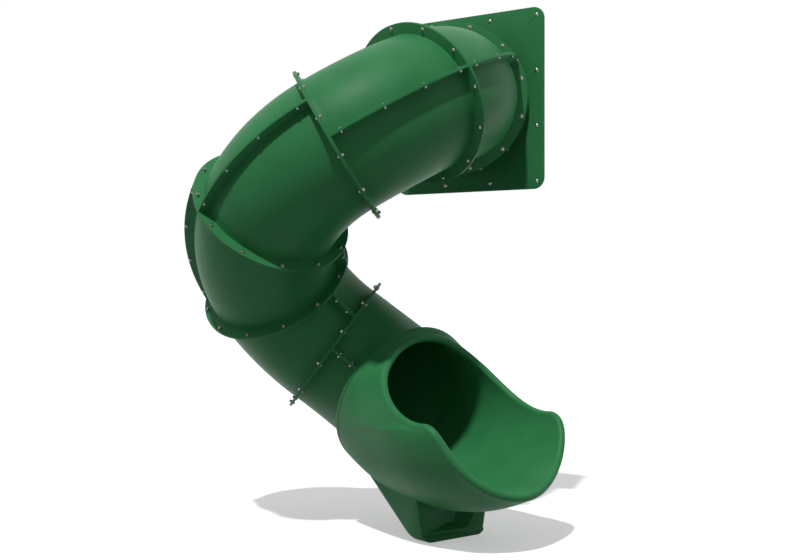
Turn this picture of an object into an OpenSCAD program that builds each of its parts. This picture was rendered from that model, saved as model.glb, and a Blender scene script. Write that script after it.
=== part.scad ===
// Enclosed spiral tube slide. A square entrance panel carries an angled collar, six identical
// bends made of an upper and a lower half shell follow it, and a wide moulded chute on a foot
// ends it. The origin is the centre of the panel's back face, the tube leaves towards -Y, and
// Z is up. All sizes are in millimetres and degrees.

/* [Entrance panel] */
// Width and height of the square panel
panel_size = 1067; // [1000:1:1300]
// Thickness of the panel
panel_t = 19; // [12:1:30]
// Radius of the panel's corners
panel_corner_r = 70; // [20:1:120]
// Distance from a mounting bolt to the panel's edge
panel_bolt_inset = 46; // [35:1:60]
// Mounting bolts along each side, with the corners
panel_side_bolts = 4; // [3:1:6]
// Length of a mounting bolt behind the panel
panel_bolt_tail = 45; // [30:1:80]
// Gap around a mounting bolt in the panel, for the sheet's growth in heat
panel_hole_gap = 1.5; // [1.2:0.1:2.5]

/* [Entry collar] */
// Straight lead before the collar's bend
collar_lead = 30; // [24:1:60]
// Bend radius of the collar, to its centre line
collar_bend_r = 460; // [450:1:520]
// Angle that the collar turns the tube along the deck
collar_bend = 34.67; // [30:0.01:38]
// Height of the collar's panel flange above the tube
collar_flange_h = 49; // [42:1:60]
// Distance from the tube to the collar's panel bolts
collar_bolt_out = 23; // [20:1:26]
// Depth of a collar bolt's head below the panel's back face
head_sink = 0.7; // [0.5:0.1:2]

/* [Tube] */
// Inside radius of the tube
tube_r = 380; // [350:1:395]
// Wall of the half shells and the collar
wall = 7; // [5:0.5:10]
// Bend radius of a section, to its centre line
bend_r = 695; // [650:1:740]
// Angle that one section turns through
bend = 45; // [42:0.1:46]
// Turn of the first section about its axis, from level towards the deck's far side
first_roll = 210; // [200:0.5:220]
// Turn of the third and each later section about its axis, which makes the spiral
spiral_roll = 30; // [25:0.5:33]

/* [Flanges] */
// Height of the joint flanges above the tube
flange_h = 64; // [62:1:75]
// Height of the seam flanges above the tube
seam_flange_h = 61; // [58:0.5:61.5]
// Thickness of one flange
flange_t = 8; // [6:0.5:10]
// Number of bolts in a joint
joint_bolts = 12; // [8:2:16]
// Distance from the tube to the joint bolts
joint_bolt_out = 40; // [34:1:46]
// Distance from the tube to the seam bolts
seam_bolt_out = 49; // [44:1:52]
// Seam bolts along the outside of a bend
outer_seam_bolts = 4; // [3:1:6]
// Distance from a joint to the first seam bolt outside the bend
outer_seam_end = 67; // [45:1:90]
// Seam bolts along the inside of a bend
inner_seam_bolts = 2; // [2:1:3]
// Distance from a joint to the first seam bolt inside the bend
inner_seam_end = 57; // [40:1:65]

/* [Fasteners] */
// Diameter of the panel's mounting bolts
panel_bolt_d = 12; // [10:1:14]
// Head diameter of the panel's mounting bolts
panel_head_d = 24; // [20:1:28]
// Diameter of the joint bolts
joint_bolt_d = 10; // [8:1:12]
// Head diameter of the joint bolts
joint_head_d = 19; // [17:1:22]
// Diameter of the seam bolts
seam_bolt_d = 8; // [6:1:8]
// Head diameter of the seam bolts
seam_head_d = 14.5; // [13:0.5:16]
// Gap around a bolt in its hole
hole_gap = 0.5; // [0.3:0.1:1]
// Gap between a nut or insert and the bolt's thread
thread_gap = 0.1; // [0.05:0.05:0.2]
// Thickness of a washer
washer_t = 2; // [1.5:0.5:3]
// How much wider a washer is than the head on it
washer_margin = 3; // [2:0.5:4]

/* [Exit chute] */
// Bend radius of the chute, to the tube's centre line
exit_bend_r = 690; // [640:1:740]
// Inside radius of the open mouth
mouth_r = 442; // [420:1:460]
// Rise of the mouth's centre above the chute's axis
mouth_rise = 94; // [70:1:110]
// Distance from the joint where the chute starts to open out
flare_start = 120; // [80:1:160]
// Distance from the joint where the chute is open
flare_end = 700; // [600:1:760]
// Diameter of the rolled rim
rim_d = 48; // [36:1:56]
// Distance from the joint to the arch's rim, along the top
arch_reach = 166; // [130:1:200]
// Drop of the side rails below the joint's centre
rail_drop = 73; // [50:1:100]
// Level distance from the joint to the end of the side rails
rail_reach = 740; // [700:1:770]
// Level distance from the joint to the rounded end of a rail
corner_reach = 836; // [820:1:850]
// Drop of that rounded end below the joint's centre
corner_drop = 156; // [140:1:175]
// Level distance from the joint to the lip
lip_reach = 988; // [960:1:1040]
// Depth that the hollow underside adds below the floor
belly = 90; // [60:1:110]
// Length of the threaded inserts in the chute's end
insert_l = 28; // [20:1:35]
// Diameter of the threaded inserts
insert_d = 18; // [16:1:20]

/* [Foot] */
// Height of the last joint's centre above the ground
exit_axis_h = 738; // [720:1:780]
// Level distance from the joint to the foot's front
foot_front = 438; // [420:1:460]
// Length of the foot on the ground
foot_base_l = 88; // [75:1:120]
// Level distance from the joint to the foot's root behind
foot_root = 87; // [60:1:120]
// Drop of that root below the joint's centre
foot_root_drop = 462; // [450:1:480]
// Drop below the joint's centre at which the foot has its top width
foot_waist_drop = 508; // [480:1:600]
// Width of the foot at the chute
foot_top_w = 456; // [420:1:480]
// Width of the foot on the ground
foot_base_w = 430; // [400:1:440]
// Radius of the foot's lower corners
foot_corner_r = 40; // [20:1:60]
// Distance between the two anchor inserts in the foot
anchor_pitch = 280; // [220:1:320]
// Diameter of the anchor thread
anchor_d = 12; // [10:1:16]
// Length of an anchor insert
anchor_insert_l = 45; // [30:1:60]
// Wall of an anchor insert
anchor_wall = 4; // [3:0.5:6]
// Gap between the foot and the chute
seat_gap = 0.3; // [0.2:0.1:0.5]

/* [Hidden] */
$fn = 96;
// Fragments of a full turn in the long bends
sweep_fn = 192;

// Turn of each section about its own axis, from the piece above it
rolls = [first_roll, 0, spiral_roll, spiral_roll, spiral_roll, spiral_roll];
upper = -1;
lower = 1;
eps = 0.01;
// Angle by which a bore's cut runs past the end of a bend
bore_over = 1;

// A head's height and its socket's width, as shares of the head's diameter, and the socket's
// depth as a share of that height
head_rise = 0.28;
socket_width = 0.4;
socket_depth = 0.6;
// A nut's height, its width over corners, its collar and the bolt's tail, as shares of the bolt
nut_rise = 0.8;
nut_corners = 1.95;
nut_collar_rise = 0.2;
nut_collar_width = 1.5;
tail_share = 1.2;
// Closed end of an insert below its thread, and the room that a screw leaves there
insert_floor = 1;
screw_play = 2;
anchor_floor = 3;

tube_outer_r = tube_r + wall;
flange_r = tube_outer_r + flange_h;
seam_flange_r = tube_outer_r + seam_flange_h;
joint_bolt_r = tube_outer_r + joint_bolt_out;
seam_bolt_r = tube_outer_r + seam_bolt_out;
collar_flange_r = tube_outer_r + collar_flange_h;
collar_bolt_r = tube_outer_r + collar_bolt_out;
// Depth of the recesses in the panel's back face for the collar bolts' washers and heads
head_recess = washer_t + joint_head_d * head_rise + head_sink;

polymer = [0.20, 0.43, 0.29];
steel = [0.70, 0.71, 0.72];
brass = [0.76, 0.62, 0.36];

// Frames are 4 x 4 matrices. Local Z runs along the way down, local X points to the centre of
// the next bend, and local +Y is the lower half of every section.
function turn(a) = [
    [cos(a), -sin(a), 0, 0],
    [sin(a), cos(a), 0, 0],
    [0, 0, 1, 0],
    [0, 0, 0, 1],
];
function curve(r, a) = [
    [cos(a), 0, sin(a), r * (1 - cos(a))],
    [0, 1, 0, 0],
    [-sin(a), 0, cos(a), r * sin(a)],
    [0, 0, 0, 1],
];
function ahead(d) = [[1, 0, 0, 0], [0, 1, 0, 0], [0, 0, 1, d], [0, 0, 0, 1]];

collar_start = [[1, 0, 0, 0], [0, 0, -1, -panel_t], [0, 1, 0, 0], [0, 0, 0, 1]];
function section_start(n) = joint(n - 1) * turn(rolls[n - 1]);
function joint(n) = n == 0
    ? collar_start * ahead(collar_lead) * curve(collar_bend_r, collar_bend)
    : section_start(n) * curve(bend_r, bend);

// The chute's frame stands upright at the last joint: X points level along the way out, Y
// across it and Z up. It falls away from the joint at exit_slope.
exit_joint = joint(len(rolls));
exit_slope = asin(-exit_joint[2][2]);
exit_heading = atan2(exit_joint[1][2], exit_joint[0][2]);
exit_frame = [
    [cos(exit_heading), -sin(exit_heading), 0, exit_joint[0][3]],
    [sin(exit_heading), cos(exit_heading), 0, exit_joint[1][3]],
    [0, 0, 1, exit_joint[2][3]],
    [0, 0, 0, 1],
];

// Sweeps its children along a bend that starts at the local origin. A child's x is measured
// from the bend's centre, and its y across the bend.
module sweep(r, from, to)
    translate([r, 0, 0])
        rotate([90, 0, 180])
            rotate([0, 0, from])
                rotate_extrude(angle = to - from, $fn = sweep_fn)
                    children();

module half_plane(side, size)
    translate([-size, side == lower ? 0 : -size])
        square([2 * size, size]);

function bolt_angle(k) = (k + 0.5) * 360 / joint_bolts;

module on_bolt_circle(r, from = 0, to = joint_bolts - 1)
    for (k = [from:to])
        rotate(bolt_angle(k))
            translate([r, 0, 0])
                children();

// Places its children at the seam bolts of a bend, with local Z towards the upper half.
module at_seam_bolts() {
    outer_r = bend_r + seam_bolt_r;
    inner_r = bend_r - seam_bolt_r;
    outer_first = outer_seam_end / outer_r * 180 / PI;
    inner_first = inner_seam_end / inner_r * 180 / PI;
    for (k = [0:outer_seam_bolts - 1])
        multmatrix(curve(bend_r, outer_first + k * (bend - 2 * outer_first) / (outer_seam_bolts - 1)))
            translate([-seam_bolt_r, 0, 0])
                rotate([90, 0, 0])
                    children();
    for (k = [0:inner_seam_bolts - 1])
        multmatrix(curve(bend_r, inner_first + k * (bend - 2 * inner_first) / (inner_seam_bolts - 1)))
            translate([seam_bolt_r, 0, 0])
                rotate([90, 0, 0])
                    children();
}

// A low domed head with a hexagonal socket, standing on z = 0.
module domed_head(d) {
    h = d * head_rise;
    dome_r = (d * d / 4 + h * h) / (2 * h);
    difference() {
        intersection() {
            translate([0, 0, h - dome_r])
                sphere(dome_r);
            cylinder(r = d, h = h);
        }
        translate([0, 0, h * (1 - socket_depth)])
            cylinder(d = d * socket_width, h = h, $fn = 6);
    }
}

module washer(bolt_d, d)
    difference() {
        cylinder(d = d, h = washer_t);
        translate([0, 0, -eps])
            cylinder(d = bolt_d + 2 * hole_gap, h = washer_t + 2 * eps);
    }

module nut(bolt_d) {
    nut_h = bolt_d * nut_rise;
    collar_h = bolt_d * nut_collar_rise;
    difference() {
        union() {
            cylinder(d = bolt_d * nut_corners, h = nut_h, $fn = 6);
            cylinder(d = bolt_d * nut_collar_width, h = nut_h + collar_h);
        }
        translate([0, 0, -eps])
            cylinder(d = bolt_d + 2 * thread_gap, h = nut_h + collar_h + 2 * eps);
    }
}

// A bolt through a stack of flanges: the head's washer lies on z = 0 and the stack below it.
module through_bolt(bolt_d, head_d, grip) {
    washer_d = head_d + washer_margin;
    tail = washer_t + bolt_d * tail_share;
    color(steel) {
        translate([0, 0, washer_t])
            domed_head(head_d);
        translate([0, 0, -grip - tail])
            cylinder(d = bolt_d, h = grip + tail + washer_t + eps);
    }
    color(steel)
        washer(bolt_d, washer_d);
    color(steel)
        translate([0, 0, -grip])
            rotate([180, 0, 0])
                washer(bolt_d, washer_d);
    color(steel)
        translate([0, 0, -grip - washer_t])
            rotate([180, 0, 0])
                nut(bolt_d);
}

module at_panel_bolts() {
    reach = panel_size / 2 - panel_bolt_inset;
    pitch = 2 * reach / (panel_side_bolts - 1);
    last = panel_side_bolts - 1;
    for (i = [0:last], j = [0:last])
        if (i == 0 || i == last || j == 0 || j == last)
            translate([-reach + i * pitch, -panel_t, -reach + j * pitch])
                rotate([90, 0, 0])
                    children();
}

module entrance_panel()
    color(polymer)
        difference() {
            rotate([90, 0, 0])
                linear_extrude(panel_t)
                    rounded_square(panel_size, panel_corner_r);
            rotate([90, 0, 0])
                translate([0, 0, -eps])
                    cylinder(r = tube_r, h = panel_t + 2 * eps);
            at_panel_bolts()
                translate([0, 0, -panel_t - eps])
                    cylinder(d = panel_bolt_d + 2 * panel_hole_gap, h = panel_t + 2 * eps);
            rotate([90, 0, 0])
                on_bolt_circle(collar_bolt_r)
                    translate([0, 0, -eps]) {
                        cylinder(d = joint_bolt_d + 2 * hole_gap, h = panel_t + 2 * eps);
                        cylinder(d = joint_head_d + washer_margin + 2 * hole_gap, h = head_recess + eps);
                    }
        }

module rounded_square(size, r) {
    square([size, size - 2 * r], center = true);
    square([size - 2 * r, size], center = true);
    for (x = [-1, 1], y = [-1, 1])
        translate([x, y] * (size / 2 - r))
            circle(r);
}

module panel_bolts()
    color(steel)
        at_panel_bolts() {
            domed_head(panel_head_d);
            translate([0, 0, -panel_t - panel_bolt_tail])
                cylinder(d = panel_bolt_d, h = panel_t + panel_bolt_tail + eps);
        }

module entry_collar() {
    joint_flange = ahead(collar_lead) * curve(collar_bend_r, collar_bend) * ahead(-flange_t);
    color(polymer)
        multmatrix(collar_start)
            difference() {
                union() {
                    cylinder(r = tube_outer_r, h = collar_lead);
                    cylinder(r = collar_flange_r, h = flange_t);
                    translate([0, 0, collar_lead])
                        sweep(collar_bend_r, 0, collar_bend - flange_inset(collar_bend_r))
                            translate([collar_bend_r, 0])
                                circle(tube_outer_r);
                    multmatrix(joint_flange)
                        cylinder(r = flange_r, h = flange_t);
                }
                translate([0, 0, -eps])
                    cylinder(r = tube_r, h = collar_lead + eps);
                translate([0, 0, collar_lead])
                    sweep(collar_bend_r, 0, collar_bend + bore_over)
                        translate([collar_bend_r, 0])
                            circle(tube_r);
                on_bolt_circle(collar_bolt_r)
                    translate([0, 0, -eps])
                        cylinder(d = joint_bolt_d + 2 * hole_gap, h = flange_t + 2 * eps);
                multmatrix(joint_flange)
                    on_bolt_circle(joint_bolt_r)
                        translate([0, 0, -eps])
                            cylinder(d = joint_bolt_d + 2 * hole_gap, h = flange_t + 2 * eps);
            }
}

// The collar's bolts, with their heads sunk in the panel's back face so that it lies flat on
// the deck.
module collar_bolts()
    rotate([-90, 0, 0])
        on_bolt_circle(collar_bolt_r)
            translate([0, 0, -head_recess])
                through_bolt(joint_bolt_d, joint_head_d, panel_t - head_recess + flange_t);

// The outline of a half shell: half the tube with a seam flange on either side.
module half_shell_profile(side)
    intersection() {
        union() {
            circle(tube_outer_r);
            square([2 * seam_flange_r, 2 * flange_t], center = true);
        }
        half_plane(side, flange_r);
    }

module half_end_flange(side)
    linear_extrude(flange_t)
        intersection() {
            circle(flange_r);
            half_plane(side, 2 * flange_r);
        }

// The angle by which a bend stops short of a joint, a quarter way through the end flange.
function flange_inset(r) = flange_t / 4 / r * 180 / PI;

// One half of a bend: a shell with a flange along both seams and around both ends.
module section_half(n, side) {
    first_bolt = side == lower ? 0 : joint_bolts / 2;
    last_bolt = first_bolt + joint_bolts / 2 - 1;
    end_flanges = [ahead(0), curve(bend_r, bend) * ahead(-flange_t)];
    inset = flange_inset(bend_r);
    color(polymer)
        multmatrix(section_start(n))
            difference() {
                union() {
                    sweep(bend_r, inset, bend - inset)
                        translate([bend_r, 0])
                            half_shell_profile(side);
                    for (m = end_flanges)
                        multmatrix(m)
                            half_end_flange(side);
                }
                sweep(bend_r, -bore_over, bend + bore_over)
                    translate([bend_r, 0])
                        circle(tube_r);
                for (m = end_flanges)
                    multmatrix(m)
                        on_bolt_circle(joint_bolt_r, first_bolt, last_bolt)
                            translate([0, 0, -eps])
                                cylinder(d = joint_bolt_d + 2 * hole_gap, h = flange_t + 2 * eps);
                at_seam_bolts()
                    translate([0, 0, -flange_t - eps])
                        cylinder(d = seam_bolt_d + 2 * hole_gap, h = 2 * (flange_t + eps));
            }
}

// The bolts of a joint between two sections, with their heads on the lower side of the joint.
module joint_bolt_ring(n)
    multmatrix(section_start(n + 1))
        on_bolt_circle(joint_bolt_r)
            translate([0, 0, flange_t])
                through_bolt(joint_bolt_d, joint_head_d, 2 * flange_t);

module seam_bolt_row(n)
    multmatrix(section_start(n))
        at_seam_bolts()
            translate([0, 0, flange_t])
                through_bolt(seam_bolt_d, seam_head_d, 2 * flange_t);

// The screws that hold the last section to the inserts moulded into the chute.
module exit_screws() {
    reach = flange_t + insert_l - insert_floor - screw_play;
    color(steel)
        multmatrix(exit_joint * ahead(-flange_t))
            on_bolt_circle(joint_bolt_r)
                mirror([0, 0, 1]) {
                    washer(joint_bolt_d, joint_head_d + washer_margin);
                    translate([0, 0, washer_t])
                        domed_head(joint_head_d);
                    translate([0, 0, -reach])
                        cylinder(d = joint_bolt_d, h = reach + washer_t + eps);
                }
}

module exit_inserts()
    color(brass)
        multmatrix(exit_joint)
            on_bolt_circle(joint_bolt_r)
                difference() {
                    cylinder(d = insert_d, h = insert_l);
                    translate([0, 0, -eps])
                        cylinder(d = joint_bolt_d + 2 * thread_gap, h = insert_l - insert_floor);
                }

// The chute is one closed skin. Its centre line bends from the joint's slope to level and
// runs on straight. In a cross-section, h is the height above that line and t the distance
// across it.
level_from = exit_bend_r * exit_slope * PI / 180;
bend_centre = exit_bend_r * [sin(exit_slope), cos(exit_slope)];

function steepness(l) = max(0, exit_slope - l / exit_bend_r * 180 / PI);
function line_point(l) = bend_centre - exit_bend_r * [sin(steepness(l)), cos(steepness(l))]
    + [max(0, l - level_from), 0];
function section_point(l, t, h) = let (p = line_point(l), a = steepness(l))
    [p[0] + h * sin(a), t, p[1] + h * cos(a)];

// Length along the centre line and height above it, of a point in the side view.
function side_to_line(p) = p[0] >= bend_centre[0]
    ? [level_from + p[0] - bend_centre[0], p[1] - bend_centre[1] + exit_bend_r]
    : let (d = bend_centre - p)
        [(exit_slope - atan2(d[0], d[1])) * exit_bend_r * PI / 180, exit_bend_r - norm(d)];

// How far the chute has opened out at a length, from 0 to 1.
function opening(l) = let (x = min(1, max(0, (l - flare_start) / (flare_end - flare_start))))
    x * x * (3 - 2 * x);
function floor_r(l) = tube_r + (mouth_r - tube_r) * opening(l);
function floor_rise(l) = mouth_rise * opening(l);

// The rim's centre line in the side view: the arch, the rail's rounded end and the lip.
function bezier(p, x) = pow(1 - x, 3) * p[0] + 3 * pow(1 - x, 2) * x * p[1]
    + 3 * (1 - x) * x * x * p[2] + pow(x, 3) * p[3];
rim_r = rim_d / 2;
arch_top = let (p = section_point(arch_reach, 0, floor_r(arch_reach) + floor_rise(arch_reach) + rim_r))
    [p[0], p[2]];
rail_end = [rail_reach, -rail_drop];
corner_end = [corner_reach, -corner_drop];
lip_l = side_to_line([lip_reach, 0])[0];
lip_end = [lip_reach, line_point(lip_l)[1] + floor_rise(lip_l) - floor_r(lip_l) - rim_r];
// Where each curve leaves its start and meets its end, from those points
arch_pull = [[55, -170], [-230, 25]];
corner_pull = [[45, -6], [-24, 48]];
lip_pull = [[48, -94], [-62, 56]];
arch_curve = [arch_top, arch_top + arch_pull[0], rail_end + arch_pull[1], rail_end];
corner_curve = [rail_end, rail_end + corner_pull[0], corner_end + corner_pull[1], corner_end];
lip_curve = [corner_end, corner_end + lip_pull[0], lip_end + lip_pull[1], lip_end];
arch_steps = 20;
corner_steps = 6;
lip_steps = 12;
rim_side = concat(
    [for (k = [0:arch_steps - 1]) bezier(arch_curve, pow(k / arch_steps, 2))],
    [for (k = [0:corner_steps - 1]) bezier(corner_curve, k / corner_steps)],
    [for (k = [0:lip_steps]) bezier(lip_curve, 1 - pow(1 - k / lip_steps, 2))]
);

// One half of the rim as [length, angle about the section's own centre, from the top].
half_rim = [
    for (p = rim_side)
        let (
            line = side_to_line(p),
            r = floor_r(line[0]) + rim_r,
            h = min(r, max(-r, line[1] - floor_rise(line[0])))
        )
        [line[0], acos(h / r)],
];
half_count = len(half_rim) - 1;
columns = 2 * half_count;
function rim_at(k) = let (i = (k + columns) % columns)
    i <= half_count ? half_rim[i] : [half_rim[columns - i][0], 360 - half_rim[columns - i][1]];

function skin_point(l, a, out) = let (r = floor_r(l) + out)
    section_point(l, r * sin(a), floor_rise(l) + r * cos(a));
function rim_centre(k) = skin_point(rim_at(k)[0], rim_at(k)[1], rim_r);

// A column runs from the joint to the rim, and leans from its even share of the circle.
function column_point(k, x, out) = let (
        rim = rim_at(k),
        even = 360 * (k % columns) / columns,
        start = (rim[1] + even) / 2
    )
    skin_point(rim[0] * x, start + (rim[1] - start) * x, out);
// How the hollow underside fades up the sides, and how far down the chute it is deepest
belly_spread = 0.8;
belly_shift = 1.3;
function skin_depth(k, x) = let (
        a = rim_at(k)[1],
        under = pow(max(0, -cos(a)), belly_spread)
    )
    (flange_r - tube_r) * (1 - x) + rim_d * x + belly * under * sin(180 * pow(x, belly_shift));

function unit(v) = v / norm(v);
function roll_point(k, a) = let (
        rim = rim_at(k),
        centre = rim_centre(k),
        out = unit(skin_point(rim[0], rim[1], rim_r + 1) - centre),
        along = unit(rim_centre(k + 1) - rim_centre(k - 1)),
        forward = unit(cross(along, out))
    )
    centre - rim_r * cos(a) * out + rim_r * sin(a) * forward;

skin_steps = 10;
roll_steps = 8;
function chute_column(k) = concat(
    [for (j = [0:skin_steps]) column_point(k, j / skin_steps, 0)],
    [for (j = [1:roll_steps - 1]) roll_point(k, 180 * j / roll_steps)],
    [for (j = [skin_steps:-1:0]) column_point(k, j / skin_steps, skin_depth(k, j / skin_steps))]
);

module chute_skin() {
    points = [for (k = [0:columns - 1]) each chute_column(k)];
    rows = 2 * (skin_steps + 1) + roll_steps - 1;
    faces = [
        for (k = [0:columns - 1], j = [0:rows - 1])
            let (
                a = k * rows + j,
                b = k * rows + (j + 1) % rows,
                c = (k + 1) % columns * rows + j,
                d = (k + 1) % columns * rows + (j + 1) % rows
            )
            each [[a, b, d], [a, d, c]],
    ];
    polyhedron(points, faces);
}

module exit_chute()
    color(polymer)
        difference() {
            multmatrix(exit_frame)
                chute_skin();
            multmatrix(exit_joint)
                on_bolt_circle(joint_bolt_r)
                    translate([0, 0, -eps])
                        cylinder(d = insert_d, h = insert_l + eps);
        }

// The foot is a hollow-fronted wedge under the chute, cut to the chute's underside.
ground = -exit_axis_h;
// The blank's top, before the chute is cut from it
foot_blank_rise = 10;
foot_top = line_point(level_from)[1] - tube_r + foot_blank_rise;
foot_top_dip = 40;
foot_arc_steps = 6;
anchor_x = foot_front - foot_base_l / 2;
anchor_insert_d = anchor_d + 2 * anchor_wall;

module foot_side_view() {
    root = [foot_root, -foot_root_drop];
    heel = [foot_front - foot_base_l, ground];
    rise = (foot_top - root[1]) / (root[1] - heel[1]);
    polygon([root + rise * (root - heel), [foot_front, foot_top], [foot_front, ground], heel]);
}

module foot_front_view() {
    waist = -foot_waist_drop;
    lean = atan2((foot_top_w - foot_base_w) / 2, waist - ground);
    r = foot_corner_r;
    corner = [foot_base_w / 2 - r * (1 - sin(lean)) / cos(lean), ground + r];
    shoulder = foot_top_w / 2 + (foot_top - waist) * tan(lean);
    arc = [for (k = [0:foot_arc_steps]) let (a = -lean - k * (90 - lean) / foot_arc_steps)
        corner + r * [cos(a), sin(a)]];
    side = concat([[shoulder, foot_top]], arc);
    polygon(concat(
        side,
        [for (k = [len(side) - 1:-1:0]) [-side[k][0], side[k][1]]],
        [[0, foot_top - foot_top_dip]]
    ));
}

module at_anchors()
    for (s = [-1, 1])
        translate([anchor_x, s * anchor_pitch / 2, ground])
            children();

module exit_foot()
    color(polymer)
        multmatrix(exit_frame)
            difference() {
                intersection() {
                    translate([0, foot_top_w, 0])
                        rotate([90, 0, 0])
                            linear_extrude(2 * foot_top_w)
                                foot_side_view();
                    rotate([90, 0, 90])
                        linear_extrude(foot_front + 1)
                            foot_front_view();
                }
                translate([0, 0, -seat_gap])
                    chute_skin();
                at_anchors()
                    translate([0, 0, -eps])
                        cylinder(d = anchor_insert_d, h = anchor_insert_l + eps);
            }

module foot_inserts()
    color(brass)
        multmatrix(exit_frame)
            at_anchors()
                difference() {
                    cylinder(d = anchor_insert_d, h = anchor_insert_l);
                    translate([0, 0, -eps])
                        cylinder(d = anchor_d + 2 * thread_gap, h = anchor_insert_l - anchor_floor);
                }

entrance_panel();
panel_bolts();
entry_collar();
collar_bolts();
section_half(1, upper);  // section_1_upper
section_half(1, lower);  // section_1_lower
section_half(2, upper);  // section_2_upper
section_half(2, lower);  // section_2_lower
section_half(3, upper);  // section_3_upper
section_half(3, lower);  // section_3_lower
section_half(4, upper);  // section_4_upper
section_half(4, lower);  // section_4_lower
section_half(5, upper);  // section_5_upper
section_half(5, lower);  // section_5_lower
section_half(6, upper);  // section_6_upper
section_half(6, lower);  // section_6_lower
joint_bolt_ring(0);  // joint_0_bolts
joint_bolt_ring(1);  // joint_1_bolts
joint_bolt_ring(2);  // joint_2_bolts
joint_bolt_ring(3);  // joint_3_bolts
joint_bolt_ring(4);  // joint_4_bolts
joint_bolt_ring(5);  // joint_5_bolts
exit_screws();
seam_bolt_row(1);  // seam_1_bolts
seam_bolt_row(2);  // seam_2_bolts
seam_bolt_row(3);  // seam_3_bolts
seam_bolt_row(4);  // seam_4_bolts
seam_bolt_row(5);  // seam_5_bolts
seam_bolt_row(6);  // seam_6_bolts
exit_chute();
exit_inserts();
exit_foot();
foot_inserts();
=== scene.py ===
# Spiral tube slide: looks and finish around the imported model.
import math

import bmesh
import bpy
from mathutils import Matrix, Vector


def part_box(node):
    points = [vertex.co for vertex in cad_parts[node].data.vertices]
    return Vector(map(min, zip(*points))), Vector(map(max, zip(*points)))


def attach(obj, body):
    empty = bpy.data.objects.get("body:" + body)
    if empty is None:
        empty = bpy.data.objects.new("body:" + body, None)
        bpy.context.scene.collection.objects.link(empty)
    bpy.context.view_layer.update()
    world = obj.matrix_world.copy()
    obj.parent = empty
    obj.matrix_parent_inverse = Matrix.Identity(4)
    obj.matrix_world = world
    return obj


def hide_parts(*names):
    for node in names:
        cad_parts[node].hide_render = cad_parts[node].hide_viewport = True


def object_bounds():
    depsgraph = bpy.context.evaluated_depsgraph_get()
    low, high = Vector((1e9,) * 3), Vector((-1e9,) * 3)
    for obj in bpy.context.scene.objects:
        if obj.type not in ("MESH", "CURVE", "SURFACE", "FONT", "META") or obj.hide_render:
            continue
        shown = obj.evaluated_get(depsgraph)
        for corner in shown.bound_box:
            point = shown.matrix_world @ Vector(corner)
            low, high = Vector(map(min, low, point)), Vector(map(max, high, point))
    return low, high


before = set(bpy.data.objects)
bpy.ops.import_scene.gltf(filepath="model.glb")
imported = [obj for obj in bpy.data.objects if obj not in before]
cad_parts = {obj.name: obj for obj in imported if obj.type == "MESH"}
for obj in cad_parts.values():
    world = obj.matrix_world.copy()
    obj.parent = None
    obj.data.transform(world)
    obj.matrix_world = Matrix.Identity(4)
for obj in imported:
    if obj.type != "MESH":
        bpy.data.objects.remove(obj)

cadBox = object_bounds()


# Small tools

# metres within which points are one, lie on a plane, lie on a faceted curve, or still belong to a rim
slack = {"merge": 0.00001, "plane": 0.0001, "facet": 0.0006, "nudge": 0.001, "rim": 0.002}
quarterTurn = math.radians(90)
squareEdge = 1.2  # radians that a square edge turns by at least


def deselectAll():
    if bpy.context.mode != "OBJECT":
        bpy.ops.object.mode_set(mode="OBJECT")
    bpy.ops.object.select_all(action="DESELECT")


def edit(piece):
    # into edit mode on one piece, with all of it selected
    deselectAll()
    piece.select_set(True)
    bpy.context.view_layer.objects.active = piece
    bpy.ops.object.mode_set(mode="EDIT")
    bpy.ops.mesh.select_all(action="SELECT")


def pick(kind, test):
    # selects the vertices, edges or faces that pass a test
    bpy.ops.mesh.select_mode(type=kind)
    bpy.ops.mesh.select_all(action="DESELECT")
    shape = bmesh.from_edit_mesh(bpy.context.edit_object.data)
    for part in {"VERT": shape.verts, "EDGE": shape.edges, "FACE": shape.faces}[kind]:
        part.select_set(bool(test(part)))
    shape.select_flush_mode()
    bmesh.update_edit_mesh(bpy.context.edit_object.data)


def ends(edge):
    return [v.co for v in edge.verts]


def turnsBy(edge, least):
    # whether two faces meet here at more than that angle
    return len(edge.link_faces) == 2 and edge.calc_face_angle(0) > least


def roundEdges(test, size, segments):
    pick("EDGE", test)
    bpy.ops.mesh.bevel(offset=size, segments=segments, affect="EDGES", clamp_overlap=True)


def added():
    # the primitive just added, with its place in its mesh
    bpy.ops.object.transform_apply(location=True, rotation=True, scale=True)
    return bpy.context.object


def addModifier(piece, kind, **settings):
    deselectAll()
    piece.select_set(True)
    bpy.context.view_layer.objects.active = piece
    modifier = piece.modifiers.new(kind.title(), kind)
    for key, value in settings.items():
        setattr(modifier, key, value)
    bpy.ops.object.modifier_apply(modifier=modifier.name)


def smooth(piece, degrees):
    deselectAll()
    piece.select_set(True)
    bpy.context.view_layer.objects.active = piece
    bpy.ops.object.shade_smooth_by_angle(angle=math.radians(degrees))


def placedCopy(piece, matrix):
    # a copy with its own mesh, moved to its place
    twin = bpy.data.objects.new(piece.name, piece.data.copy())
    bpy.context.scene.collection.objects.link(twin)
    twin.data.transform(matrix)
    if matrix.determinant() < 0:
        twin.data.flip_normals()
    return twin


def joined(pieces):
    deselectAll()
    for piece in pieces:
        piece.select_set(True)
    bpy.context.view_layer.objects.active = pieces[0]
    if len(pieces) > 1:
        bpy.ops.object.join()
    return pieces[0]


def discard(piece):
    bpy.data.objects.remove(piece)


def cutWith(piece, cutter, operation):
    addModifier(piece, "BOOLEAN", object=cutter, operation=operation, solver="EXACT")
    discard(cutter)


def finish(piece, name, node, material):
    # names the piece, gives it its one material, hangs it on the root body and hides the part it stands for
    piece.name = name
    piece.data.name = name
    piece.data.materials.clear()
    piece.data.materials.append(material)
    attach(piece, "root")
    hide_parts(node)


# Materials

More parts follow.
